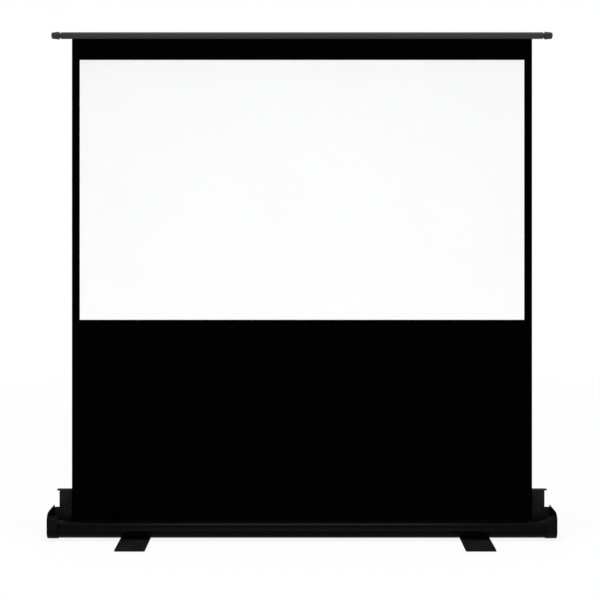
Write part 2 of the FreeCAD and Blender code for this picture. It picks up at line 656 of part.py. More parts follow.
def make_pins():
    """Pivot pins through both layers, and the pins that tie the lift to its two rails."""
    front_end = f"{FRONT_ARM_Y} + arm_thickness"
    head_front = ("head_radius", f"{FRONT_ARM_Y} - head_gap - head_thickness", f"{FRONT_ARM_Y} - head_gap")
    collar = ("head_radius", f"{front_end} + head_gap", f"{REAR_ARM_Y} - head_gap")
    head_rear = ("head_radius", f"{ARMS_END_Y} + head_gap", f"{ARMS_END_Y} + head_gap + head_thickness")
    shaft = ("pin_radius", f"{FRONT_ARM_Y} - head_gap", f"{ARMS_END_Y} + head_gap")
    through = [head_front, shaft, collar, head_rear]
    stepped_pin("lower_cross_pin", "0", LOW_CROSS_Z, through)
    stepped_pin("right_knee_pin", RIGHT_X, KNEE_Z, through)
    stepped_pin("left_knee_pin", LEFT_X, KNEE_Z, through)
    stepped_pin("upper_cross_pin", "0", HIGH_CROSS_Z, through)
    rail_head = ("head_radius", RAIL_END_Y, f"{RAIL_END_Y} + head_thickness")
    slide_head = ("slide_head_radius", f"{RAIL_END_Y} + slide_fit", f"{RAIL_END_Y} + slide_fit + head_thickness")
    rear_start = f"{REAR_ARM_Y} - head_gap"
    rear_head = ("head_radius", f"{rear_start} - arm_gap / 2", rear_start)
    front_spacer = ("head_radius", f"{front_end} + head_gap", RAIL_Y)
    rear_spacer = ("head_radius", f"{ARMS_END_Y} + head_gap", RAIL_Y)
    front_shaft = ("pin_radius", f"{FRONT_ARM_Y} - head_gap", RAIL_END_Y)
    rear_shaft = ("pin_radius", rear_start, RAIL_END_Y)
    stepped_pin("base_pivot_pin", LEFT_X, BASE_Z, [head_front, front_shaft, front_spacer, rail_head])
    stepped_pin("top_pivot_pin", LEFT_X, TOP_Z, [rear_head, rear_shaft, rear_spacer, rail_head])
    clear_end = f"{RAIL_END_Y} + slide_fit"
    front_slide = ("pin_radius", f"{FRONT_ARM_Y} - head_gap", clear_end)
    rear_slide = ("pin_radius", rear_start, clear_end)
    front_sleeve = ("head_radius", f"{front_end} + head_gap", f"{RAIL_Y} - slide_fit")
    rear_sleeve = ("head_radius", f"{ARMS_END_Y} + head_gap", f"{RAIL_Y} - slide_fit")
    stepped_pin("base_slide_pin", RIGHT_X, BASE_Z, [rear_head, rear_slide, rear_sleeve, slide_head])
    stepped_pin("top_slide_pin", RIGHT_X, TOP_Z, [head_front, front_slide, front_sleeve, slide_head])
    for label, up in (("base_slide_roller", BASE_Z), ("top_slide_roller", TOP_Z)):
        start = (RIGHT_X, RAIL_Y, up)
        wheel = cylinder(label + "_outside", "slide_radius", "rail_thickness", start, "y")
        bore = cylinder(label + "_bore", "pin_radius + pin_fit", "rail_thickness", start, "y")
        keep(cut(label + "_ring", wheel, [bore]), label)


def rail_cuts(name, up):
    """The pivot hole and the long slot of a rail, at one height."""
    half = "(slide_radius + slide_fit)"
    hole = cylinder(name + "_pivot", "pin_radius + pin_fit", "rail_thickness", (LEFT_X, RAIL_Y, up), "y")
    near = cylinder(name + "_near", half, "rail_thickness", (f"{RIGHT_X} - slide_fit", RAIL_Y, up), "y")
    far = cylinder(name + "_far", half, "rail_thickness", (f"{FOLDED_X} + slide_fit", RAIL_Y, up), "y")
    middle = box(name + "_middle", (f"{FOLDED_X} - {RIGHT_X} + 2 * slide_fit", "rail_thickness", f"2 * {half}"),
                 (f"{RIGHT_X} - slide_fit", RAIL_Y, f"{up} - {half}"))
    return [hole, fuse(name + "_slot", [near, far, middle])]


def make_base_rail():
    """The angle on the case floor that carries the lower ends of the lift."""
    upright = box("base_upright", (RAIL_LENGTH, "rail_thickness", f"pivot_rise + {RAIL_HALF}"),
                  (RAIL_START_X, RAIL_Y, CASE_FLOOR))
    flange = box("base_flange", (RAIL_LENGTH, "rail_flange", "rail_thickness"),
                 (RAIL_START_X, RAIL_END_Y, CASE_FLOOR))
    holes = rail_cuts("base_rail", BASE_Z)
    for index, (across, depth) in enumerate(rail_screw_places()):
        holes.append(cylinder(f"base_hole_{index}", "screw_radius + screw_fit", "rail_thickness",
                              (across, depth, CASE_FLOOR), "z"))
    keep(cut("base_rail", fuse("base_angle", [upright, flange]), holes), "lift_base_rail")


def make_top_rail():
    """The angle behind the bar that carries the upper ends of the lift."""
    flange_low = "(bar_height - rail_thickness / 2)"
    upright = box("top_upright", (RAIL_LENGTH, "rail_thickness", f"{flange_low} - {TOP_Z} + {RAIL_HALF}"),
                  (RAIL_START_X, RAIL_Y, f"{TOP_Z} - {RAIL_HALF}"))
    flange = box("top_flange", (RAIL_LENGTH, f"{RAIL_END_Y} - fabric_back", "rail_thickness"),
                 (RAIL_START_X, "fabric_back", flange_low))
    saddle = cylinder("top_saddle", "bar_radius + rail_saddle", RAIL_LENGTH,
                      (RAIL_START_X, "fabric_back", "bar_height"), "x")
    holes = rail_cuts("top_rail", TOP_Z) + [saddle]
    keep(cut("top_rail_cut", fuse("top_angle", [upright, flange]), holes), "top_rail")


def hinge_middle(index):
    """Middle of one of the lid's hinges, along the case."""
    return f"(({index} - ({HINGES} - 1) / 2) * ({LID_LENGTH} / 2 - hinge_inset))"


def make_lid():
    """The open lid: an upright plate with a skirt along its top and an apron below, between its hinges."""
    body = new_body("lid_panel")
    inside = f"({HINGE_Y} + lid_offset)"
    outside = f"({inside} + lid_wall)"
    top = f"({HINGE_Z} + lid_height)"
    low = f"({HINGE_Z} + hinge_rise)"
    front = f"({outside} - lid_skirt)"
    bend_y = f"({outside} - lid_bend)"
    bend_z = f"({top} - lid_bend)"
    sketch = sketch_on(body, "YZ_Plane", "lid_section")
    draw_outline(sketch, [
        (inside, low),
        (outside, low),
        (outside, bend_z, bend_y, bend_z, 1),
        (bend_y, top),
        (front, top),
        (front, f"{top} - lid_wall"),
        (bend_y, f"{top} - lid_wall", bend_y, bend_z, -1),
        (inside, bend_z),
    ])
    pad(body, sketch, LID_LENGTH, both_ways=True)
    skirt = sketch_on(body, "YZ_Plane", "lid_skirt_section")
    draw_outline(skirt, [
        (front, f"{top} - lid_wall"),
        (bend_y, f"{top} - lid_wall"),
        (bend_y, top),
        (front, top),
    ])
    pad(body, skirt, SKIRT_LENGTH, both_ways=True)
    reach = f"({HALF_LENGTH} - cap_length - apron_clear)"
    beside = "(hinge_width / 2 + apron_gap)"
    edges = [f"(0 - {reach})"]
    for index in range(HINGES):
        edges += [f"({hinge_middle(index)} - {beside})", f"({hinge_middle(index)} + {beside})"]
    edges.append(reach)
    aprons = [box(f"lid_apron_{index}", (f"{edges[index + 1]} - {edges[index]}", "lid_wall", "hinge_rise + lid_apron"),
                  (edges[index], inside, f"{HINGE_Z} - lid_apron"))
              for index in range(0, len(edges), 2)]
    ends = [box(f"lid_end_{side}", (f"{LID_LENGTH} / 2 - {reach}", "lid_wall", "hinge_rise + end_apron"),
                (start, inside, f"{HINGE_Z} - end_apron"))
            for side, start in (("left", f"(0 - {LID_LENGTH} / 2)"), ("right", reach))]
    keep(fuse("lid_whole", [body] + aprons + ends), "lid_panel")


def make_hinges():
    """Pin hinges: one middle knuckle on the case, two outer knuckles on the lid."""
    case_leaves = []
    lid_leaves = []
    pins = []
    outer_width = "((hinge_width - knuckle_width) / 2 - knuckle_gap)"
    for index in range(HINGES):
        middle = hinge_middle(index)
        axis_start = (f"{middle} - hinge_width / 2", HINGE_Y, HINGE_Z)
        pins.append(cylinder(f"hinge_pin_{index}", "hinge_pin_radius", "hinge_width", axis_start, "x"))
        bore_case = cylinder(f"case_bore_{index}", "hinge_pin_radius + pin_fit", "hinge_width", axis_start, "x")
        bore_lid = cylinder(f"lid_bore_{index}", "hinge_pin_radius + pin_fit", "hinge_width", axis_start, "x")
        leaf = box(f"case_leaf_{index}", ("hinge_width", "leaf_thickness", "leaf_height"),
                   (f"{middle} - hinge_width / 2", REAR_Y, f"{REAR_TOP} - leaf_height"))
        tab = box(f"case_tab_{index}", ("knuckle_width", "leaf_thickness", "hinge_rise"),
                  (f"{middle} - knuckle_width / 2", REAR_Y, REAR_TOP))
        knuckle = cylinder(f"case_knuckle_{index}", "knuckle_radius", "knuckle_width",
                           (f"{middle} - knuckle_width / 2", HINGE_Y, HINGE_Z), "x")
        case_leaves.append(cut(f"case_hinge_{index}", fuse(f"case_hinge_whole_{index}", [leaf, tab, knuckle]),
                               [bore_case]))
        leaf_y = f"{HINGE_Y} + lid_offset - leaf_thickness"
        pieces = [box(f"lid_leaf_{index}", ("hinge_width", "leaf_thickness", "leaf_height"),
                      (f"{middle} - hinge_width / 2", leaf_y, f"{HINGE_Z} + hinge_rise"))]
        for side, start in (("left", f"{middle} - hinge_width / 2"),
                            ("right", f"{middle} + knuckle_width / 2 + knuckle_gap")):
            pieces.append(cylinder(f"lid_knuckle_{side}_{index}", "knuckle_radius", outer_width,
                                   (start, HINGE_Y, HINGE_Z), "x"))
            pieces.append(box(f"lid_tab_{side}_{index}", (outer_width, "leaf_thickness", "hinge_rise"),
                              (start, leaf_y, HINGE_Z)))
        lid_leaves.append(cut(f"lid_hinge_{index}", fuse(f"lid_hinge_whole_{index}", pieces), [bore_lid]))
    keep(group("case_leaf_group", case_leaves), "case_hinge_leaves")
    keep(group("lid_leaf_group", lid_leaves), "lid_hinge_leaves")
    keep(group("hinge_pin_group", pins), "hinge_pins")


def make_foot(side):
    """A flat foot with rounded corners and a rubber pad under each end."""
    across, depth = f"({SIDES[side]} * {FOOT_X} + foot_shift)", "0"
    half_x = "(foot_width / 2)"
    half_y = "(foot_length / 2)"
    in_x = f"({half_x} - foot_corner)"
    in_y = f"({half_y} - foot_corner)"
    body = new_body(f"{side}_foot_plate")
    sketch = sketch_on(body, "XY_Plane", f"{side}_foot_outline")
    draw_outline(sketch, [
        (f"0 - {in_x}", f"0 - {half_y}"),
        (in_x, f"0 - {half_y}", in_x, f"0 - {in_y}", 1),
        (half_x, f"0 - {in_y}"),
        (half_x, in_y, in_x, in_y, 1),
        (in_x, half_y),
        (f"0 - {in_x}", half_y, f"0 - {in_x}", in_y, 1),
        (f"0 - {half_x}", in_y),
        (f"0 - {half_x}", f"0 - {in_y}", f"0 - {in_x}", f"0 - {in_y}", 1),
    ])
    draw_circles(sketch, [("0", "0", "bolt_radius + bolt_fit")])
    pad(body, sketch, "foot_thickness")
    place(body, (across, depth, "pad_height"))
    keep(body, f"{side}_foot_plate")
    size = ("foot_width - 2 * pad_margin", "pad_depth", "pad_height")
    left = f"{across} - {half_x} + pad_margin"
    pads = [box(f"{side}_pad_front", size, (left, f"pad_margin - {half_y}", "0")),
            box(f"{side}_pad_rear", size, (left, f"{half_y} - pad_margin - pad_depth", "0"))]
    keep(group(f"{side}_pads", pads), f"{side}_foot_pads")


def make_foot_pivots():
    """The bolt, washer and nut that hold each foot to the case floor."""
    bolts = []
    washers = []
    nuts = []
    plate_top = "(pad_height + foot_thickness)"
    for index, (across, depth) in enumerate(foot_places()):
        head = cylinder(f"bolt_head_{index}", "bolt_head_radius", "bolt_head",
                        (across, depth, "pad_height - bolt_head"), "z")
        shank = cylinder(f"bolt_shank_{index}", "bolt_radius", f"{CASE_FLOOR} + nut_height - pad_height",
                         (across, depth, "pad_height"), "z")
        bolts.append(fuse(f"bolt_{index}", [head, shank]))
        disc = cylinder(f"washer_disc_{index}", "washer_radius", "washer_thickness",
                        (across, depth, plate_top), "z")
        eye = cylinder(f"washer_eye_{index}", "bolt_radius + bolt_fit", "washer_thickness",
                       (across, depth, plate_top), "z")
        washers.append(cut(f"washer_{index}", disc, [eye]))
        block = cylinder(f"nut_block_{index}", "nut_radius", "nut_height", (across, depth, CASE_FLOOR), "z")
        thread = cylinder(f"nut_bore_{index}", "bolt_radius + bolt_fit", "nut_height",
                          (across, depth, CASE_FLOOR), "z")
        nuts.append(cut(f"nut_{index}", block, [thread]))
    keep(group("bolt_group", bolts), "foot_pivot_bolts")
    keep(group("washer_group", washers), "foot_pivot_washers")
    keep(group("nut_group", nuts), "foot_pivot_nuts")


def check_and_write():
    """Stop on any failed object, then write each sub-part to its own file."""
    doc.recompute()
    failed = [item.Name for item in doc.Objects if {"Invalid", "Error"} & set(item.State)]
    if failed:
        raise RuntimeError("failed objects: " + ", ".join(failed))
    for item in sub_parts:
        if item.Shape.isNull() or not item.Shape.isValid() or not item.Shape.Solids:
            raise RuntimeError("bad shape: " + item.Label)
    os.makedirs("parts", exist_ok=True)
    for item in sub_parts:
        item.Shape.exportStep(os.path.join("parts", item.Label + ".step"))


fill_sheet()
make_case()
for side_name in SIDES:
    make_end_cap(side_name)
    make_foot(side_name)
make_screws()
make_roller()
make_roller_supports()
make_fabric()
make_bar()
make_arms()
make_pins()
make_base_rail()
make_top_rail()
make_lid()
make_hinges()
make_foot_pivots()
check_and_write()
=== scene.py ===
"""Looks of a floor-standing pull-up projection screen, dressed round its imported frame.

Lengths are in metres, in the frame's own axes: X along the case, the front towards -Y, Z up.
"""

import json
import logging
import math
from dataclasses import dataclass, field
from enum import Enum
from functools import lru_cache
from typing import Any, Dict, List, Optional, Sequence, Tuple, Union

import bpy
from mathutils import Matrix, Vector


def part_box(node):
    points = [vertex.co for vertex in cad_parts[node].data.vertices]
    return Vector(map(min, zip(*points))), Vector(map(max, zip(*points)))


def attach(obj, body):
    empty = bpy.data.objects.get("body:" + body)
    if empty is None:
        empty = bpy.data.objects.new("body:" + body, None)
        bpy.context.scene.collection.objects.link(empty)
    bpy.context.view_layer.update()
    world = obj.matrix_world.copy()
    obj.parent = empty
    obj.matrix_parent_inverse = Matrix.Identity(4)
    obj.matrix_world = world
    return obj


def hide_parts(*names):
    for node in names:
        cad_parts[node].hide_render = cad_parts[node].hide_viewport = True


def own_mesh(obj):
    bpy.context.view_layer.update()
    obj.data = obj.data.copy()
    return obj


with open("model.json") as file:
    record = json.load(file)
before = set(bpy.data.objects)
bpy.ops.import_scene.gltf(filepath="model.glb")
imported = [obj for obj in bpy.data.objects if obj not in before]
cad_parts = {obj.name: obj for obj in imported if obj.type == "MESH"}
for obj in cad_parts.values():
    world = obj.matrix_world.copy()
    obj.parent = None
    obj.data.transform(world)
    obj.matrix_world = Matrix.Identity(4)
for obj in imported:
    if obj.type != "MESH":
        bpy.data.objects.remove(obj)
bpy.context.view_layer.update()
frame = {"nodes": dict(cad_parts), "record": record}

Colour = Tuple[float, float, float]
Point = Tuple[float, float, float]
Span = Tuple[float, float]
Sockets = Sequence[Tuple[str, str]]
OpenGroup = Tuple[bpy.types.NodeTree, bpy.types.Node, bpy.types.Node]
Value = Union[float, Tuple[float, ...], bpy.types.NodeSocket]

LOG = logging.getLogger("projection_screen")
MM = 0.001
UNIT_SPAN: Span = (0.0, 1.0)
# Faces that meet at less than this angle are shaded as one surface
SMOOTH_BELOW = math.radians(35.0)
# Turn that stands a grid up to face the front, and that points a camera level to the back
UPRIGHT: Point = (math.radians(90.0), 0.0, 0.0)


class GrainLay(Enum):
    """Direction of a grain, as the scale of its pattern along X, Y and Z."""

    ALONG = (0.03, 1.0, 1.0)
    EVEN = (1.0, 1.0, 1.0)


def deselect_all() -> None:
    """Leave nothing selected, so that an operator acts on one piece only."""
    if bpy.context.object is not None and bpy.context.object.mode != "OBJECT":
        bpy.ops.object.mode_set(mode="OBJECT")
    bpy.ops.object.select_all(action="DESELECT")


def activate(piece: bpy.types.Object) -> None:
    """Make a piece the only selected and the active object.

    Args:
        piece: The piece.
    """
    deselect_all()
    piece.select_set(True)
    bpy.context.view_layer.objects.active = piece


def apply_modifier(piece: bpy.types.Object, name: str) -> None:
    """Apply one modifier of a piece."""
    activate(piece)
    bpy.ops.object.modifier_apply(modifier=name)


def apply_place(piece: bpy.types.Object) -> None:
    """Move a piece's place, turn and size into its mesh."""
    activate(piece)
    bpy.ops.object.transform_apply(location=True, rotation=True, scale=True)


def node_slot(node: str) -> str:
    """Name the record's material slot of a node."""
    return next(part["material_slot"] for part in frame["record"]["subparts"] if part["node"] == node)


def node_body(node: str) -> str:
    """Name the body that a node belongs to."""
    return next(body for body, nodes in frame["record"]["behaviour"]["bodies"].items() if node in nodes)


def feed(tree: bpy.types.NodeTree, socket: bpy.types.NodeSocket, value: Value) -> None:
    """Link an output to an input socket, or set the socket to a plain value.

    Args:
        tree: The node tree.
        socket: The input socket.
        value: An output socket, a number or a colour.
    """
    if isinstance(value, bpy.types.NodeSocket):
        tree.links.new(value, socket)
    else:
        socket.default_value = value


def math_node(tree: bpy.types.NodeTree, operation: str, *values: Value) -> bpy.types.NodeSocket:
    """Add a math node.

    Args:
        tree: The node tree.
        operation: The node's operation.
        values: What its inputs get, in order.

    Returns:
        The socket of its result.
    """
    node = tree.nodes.new("ShaderNodeMath")
    node.operation = operation
    for socket, value in zip(node.inputs, values):
        feed(tree, socket, value)
    return node.outputs[0]


def map_range(tree: bpy.types.NodeTree, value: Value, source: Tuple[Value, Value] = UNIT_SPAN,
              target: Tuple[Value, Value] = UNIT_SPAN) -> bpy.types.NodeSocket:
    """Add a node that maps one range of values onto another.

    Args:
        tree: The node tree.
        value: The value to map.
        source: Lowest and highest value that goes in.
        target: Lowest and highest value that comes out.

    Returns:
        The socket of its result.
    """
    node = tree.nodes.new("ShaderNodeMapRange")
    feed(tree, node.inputs["Value"], value)
    for label, limits in (("From", source), ("To", target)):
        feed(tree, node.inputs[label + " Min"], limits[0])
        feed(tree, node.inputs[label + " Max"], limits[1])
    return node.outputs["Result"]


def mix_colours(tree: bpy.types.NodeTree, share: Value, first: Value, second: Value) -> bpy.types.NodeSocket:
    """Add a node that mixes two colours.

    Args:
        tree: The node tree.
        share: Share of the second colour.
        first, second: The two colours.

    Returns:
        The socket of the mixed colour.
    """
    node = tree.nodes.new("ShaderNodeMix")
    node.data_type = "RGBA"
    for label, value in (("Factor", share), ("A", first), ("B", second)):
        feed(tree, node.inputs[label], value)
    return node.outputs["Result"]


class EffectGroups:
    """Shader node groups that finishes share. Each is built once, when it is first asked for."""

    # Detail of the noise nodes, and how strong their finer layers are
    GRAIN_DETAIL = 3.0
    GRAIN_ROUGHNESS = 0.6
    MOTTLE_DETAIL = 4.0
    # Grain times mottle where the colour is darkest and where it is lightest
    TONE_SPAN: Span = (0.12, 0.40)
    # Mottle where the surface is smoothest and where it is roughest
    GLOSS_SPAN: Span = (0.3, 0.7)
    # Patches per metre of the cloth's slow change of tone, and their detail
    PATCH_SCALE = 3.0
    PATCH_DETAIL = 3.0
    # Lowest and highest value of one thread's wave times that of the thread across it
    CROSSING_SPAN: Span = (-1.0, 1.0)

    @staticmethod
    def _open(name: str, inputs: Sockets, outputs: Sockets) -> OpenGroup:
        """Open a new group.

        Args:
            name: The group's name.
            inputs: Name and socket type of each input.
            outputs: Name and socket type of each output.

        Returns:
            The tree and its input and output nodes.
        """
        tree = bpy.data.node_groups.new(name, "ShaderNodeTree")
        for label, kind in inputs:
            tree.interface.new_socket(label, in_out="INPUT", socket_type=kind)
        for label, kind in outputs:
            tree.interface.new_socket(label, in_out="OUTPUT", socket_type=kind)
        return tree, tree.nodes.new("NodeGroupInput"), tree.nodes.new("NodeGroupOutput")

    @classmethod
    @lru_cache(maxsize=None)
    def coat_grain(cls) -> bpy.types.NodeTree:
        """Fine sprayed or moulded grain over slow mottling.

        Returns:
            A group with Color, Roughness and Height outputs.
        """
        tree, given, out = cls._open(
            "coat_grain",
            [("Dark", "NodeSocketColor"), ("Light", "NodeSocketColor"), ("Vector", "NodeSocketVector"),
             ("Grain Scale", "NodeSocketFloat"), ("Mottle Scale", "NodeSocketFloat"),
             ("Rough Low", "NodeSocketFloat"), ("Rough High", "NodeSocketFloat")],
            [("Color", "NodeSocketColor"), ("Roughness", "NodeSocketFloat"), ("Height", "NodeSocketFloat")],
        )
        grain = tree.nodes.new("ShaderNodeTexNoise")
        grain.inputs["Detail"].default_value = cls.GRAIN_DETAIL
        grain.inputs["Roughness"].default_value = cls.GRAIN_ROUGHNESS
        mottle = tree.nodes.new("ShaderNodeTexNoise")
        mottle.inputs["Detail"].default_value = cls.MOTTLE_DETAIL
        for texture, scale in ((grain, "Grain Scale"), (mottle, "Mottle Scale")):
            tree.links.new(given.outputs["Vector"], texture.inputs["Vector"])
            tree.links.new(given.outputs[scale], texture.inputs["Scale"])
        blend = math_node(tree, "MULTIPLY", grain.outputs["Fac"], mottle.outputs["Fac"])
        tone = map_range(tree, blend, cls.TONE_SPAN)
        colour = mix_colours(tree, tone, given.outputs["Dark"], given.outputs["Light"])
        rough_span = (given.outputs["Rough Low"], given.outputs["Rough High"])
        rough = map_range(tree, mottle.outputs["Fac"], cls.GLOSS_SPAN, rough_span)
        tree.links.new(colour, out.inputs["Color"])
        tree.links.new(rough, out.inputs["Roughness"])
        tree.links.new(grain.outputs["Fac"], out.inputs["Height"])
        return tree

    @classmethod
    @lru_cache(maxsize=None)
    def cloth_weave(cls) -> bpy.types.NodeTree:
        """Over-and-under threads of a coated cloth, on a UV map in metres.

        Returns:
            A group with Height and Tone outputs.
        """
        tree, given, out = cls._open(
            "cloth_weave",
            [("Vector", "NodeSocketVector"), ("Threads", "NodeSocketFloat")],
            [("Height", "NodeSocketFloat"), ("Tone", "NodeSocketFloat")],
        )
        split = tree.nodes.new("ShaderNodeSeparateXYZ")
        tree.links.new(given.outputs["Vector"], split.inputs[0])
        waves = []
        for axis in ("X", "Y"):
            turn = math_node(tree, "MULTIPLY", split.outputs[axis], given.outputs["Threads"])
            waves.append(math_node(tree, "SINE", turn))
        crossing = math_node(tree, "MULTIPLY", *waves)
        height = map_range(tree, crossing, cls.CROSSING_SPAN)
        patches = tree.nodes.new("ShaderNodeTexNoise")
        patches.inputs["Scale"].default_value = cls.PATCH_SCALE
        patches.inputs["Detail"].default_value = cls.PATCH_DETAIL
        tree.links.new(given.outputs["Vector"], patches.inputs["Vector"])
        tree.links.new(height, out.inputs["Height"])
        tree.links.new(patches.outputs["Fac"], out.inputs["Tone"])
        return tree


@dataclass(frozen=True)
class CoatFinish:
    """A coated, moulded, plated or bare rigid surface.

    Attributes:
        name: The material's name.
        dark, light: The two colours that the grain mixes.
        rough: Lowest and highest roughness.
        grain: Size of one grain.
        depth: Height of the grain.
        specular: Specular level of the surface.
        metallic: 1 on bare metal.
        lay: Direction of the grain.
        mottle: Size of the slow mottling.
    """

    name: str
    dark: Colour
    light: Colour
    rough: Span
    grain: float = 0.6 * MM
    depth: float = 0.05 * MM
    specular: float = 0.2
    metallic: float = 0.0
    lay: GrainLay = GrainLay.EVEN
    mottle: float = 60 * MM

    def build(self) -> bpy.types.Material:
        """Make the material.

        Returns:
            The new material.
        """
        material = bpy.data.materials.new(self.name)
        material.use_nodes = True
        tree = material.node_tree
        shader = tree.nodes["Principled BSDF"]
        place = tree.nodes.new("ShaderNodeTexCoord")
        mapping = tree.nodes.new("ShaderNodeMapping")
        mapping.inputs["Scale"].default_value = self.lay.value
        tree.links.new(place.outputs["Object"], mapping.inputs["Vector"])
        group = tree.nodes.new("ShaderNodeGroup")
        group.node_tree = EffectGroups.coat_grain()
        tree.links.new(mapping.outputs["Vector"], group.inputs["Vector"])
        group.inputs["Dark"].default_value = (*self.dark, 1.0)
        group.inputs["Light"].default_value = (*self.light, 1.0)
        group.inputs["Grain Scale"].default_value = 1.0 / self.grain
        group.inputs["Mottle Scale"].default_value = 1.0 / self.mottle
        group.inputs["Rough Low"].default_value = self.rough[0]
        group.inputs["Rough High"].default_value = self.rough[1]
        bump = tree.nodes.new("ShaderNodeBump")
        bump.inputs["Distance"].default_value = self.depth
        tree.links.new(group.outputs["Height"], bump.inputs["Height"])
        tree.links.new(group.outputs["Color"], shader.inputs["Base Color"])
        tree.links.new(group.outputs["Roughness"], shader.inputs["Roughness"])
        tree.links.new(bump.outputs["Normal"], shader.inputs["Normal"])
        shader.inputs["Specular IOR Level"].default_value = self.specular
        shader.inputs["Metallic"].default_value = self.metallic
        return material


@dataclass(frozen=True)
class PictureArea:
    """The picture area of the screen cloth, on the cloth's UV map.

    Attributes:
        colour: Its colour.
        across: Lowest and highest U.
        up: Lowest and highest V.
    """

    colour: Colour
    across: Span
    up: Span

    def mask(self, tree: bpy.types.NodeTree, flat: bpy.types.Node) -> bpy.types.NodeSocket:
        """Make the mask that is 1 inside the area.

        Args:
            tree: The material's node tree.
            flat: The UV map node.

        Returns:
            The mask's socket.
        """
        split = tree.nodes.new("ShaderNodeSeparateXYZ")
        tree.links.new(flat.outputs["UV"], split.inputs[0])
        sides = []
        for axis, (low, high) in (("X", self.across), ("Y", self.up)):
            above = math_node(tree, "GREATER_THAN", split.outputs[axis], low)
            below = math_node(tree, "LESS_THAN", split.outputs[axis], high)
            sides.append(math_node(tree, "MULTIPLY", above, below))
        return math_node(tree, "MULTIPLY", *sides)


@dataclass(frozen=True)
class ClothFinish:
    """Coated screen cloth, plain or with a picture area.

    Attributes:
        name: The material's name.
        ground: Colour of the cloth outside the picture area.
        size: Width and height of the cloth that the UV map covers.
        picture: The picture area, or None for plain cloth.
        thread: Distance between two threads.
        depth: Height of the weave.
        roughness: Roughness of the cloth.
        specular: Specular level of the cloth.
        tone_spread: How far the colours go up and down over the cloth, as a share of them.
    """

    name: str
    ground: Colour
    size: Span
    picture: Optional[PictureArea] = None
    thread: float = 0.9 * MM
    depth: float = 0.04 * MM
    roughness: float = 0.92
    specular: float = 0.005
    tone_spread: float = 0.015

    def _toned(self, tree: bpy.types.NodeTree, weave: bpy.types.Node,
               colour: Colour) -> bpy.types.NodeSocket:
        """Let a colour vary a little over the cloth.

        Args:
            tree: The material's node tree.
            weave: The weave group's node.
            colour: The middle colour.

        Returns:
            The colour's socket.
        """
        shares = (1.0 - self.tone_spread, 1.0 + self.tone_spread)
        low, high = ((*(value * share for value in colour), 1.0) for share in shares)
        return mix_colours(tree, weave.outputs["Tone"], low, high)

    def build(self) -> bpy.types.Material:
        """Make the material.

        Returns:
            The new material.
        """
        material = bpy.data.materials.new(self.name)
        material.use_nodes = True
        tree = material.node_tree
        shader = tree.nodes["Principled BSDF"]
        flat = tree.nodes.new("ShaderNodeUVMap")
        scale = tree.nodes.new("ShaderNodeMapping")
        scale.inputs["Scale"].default_value = (*self.size, 1.0)
        tree.links.new(flat.outputs["UV"], scale.inputs["Vector"])
        weave = tree.nodes.new("ShaderNodeGroup")
        weave.node_tree = EffectGroups.cloth_weave()
        weave.inputs["Threads"].default_value = math.pi / self.thread
        tree.links.new(scale.outputs["Vector"], weave.inputs["Vector"])
        colour = self._toned(tree, weave, self.ground)
        if self.picture is not None:
            inside = self.picture.mask(tree, flat)
            colour = mix_colours(tree, inside, colour, self._toned(tree, weave, self.picture.colour))
        tree.links.new(colour, shader.inputs["Base Color"])
        bump = tree.nodes.new("ShaderNodeBump")
        bump.inputs["Distance"].default_value = self.depth
        tree.links.new(weave.outputs["Height"], bump.inputs["Height"])
        tree.links.new(bump.outputs["Normal"], shader.inputs["Normal"])
        shader.inputs["Roughness"].default_value = self.roughness
        shader.inputs["Specular IOR Level"].default_value = self.specular
        return material


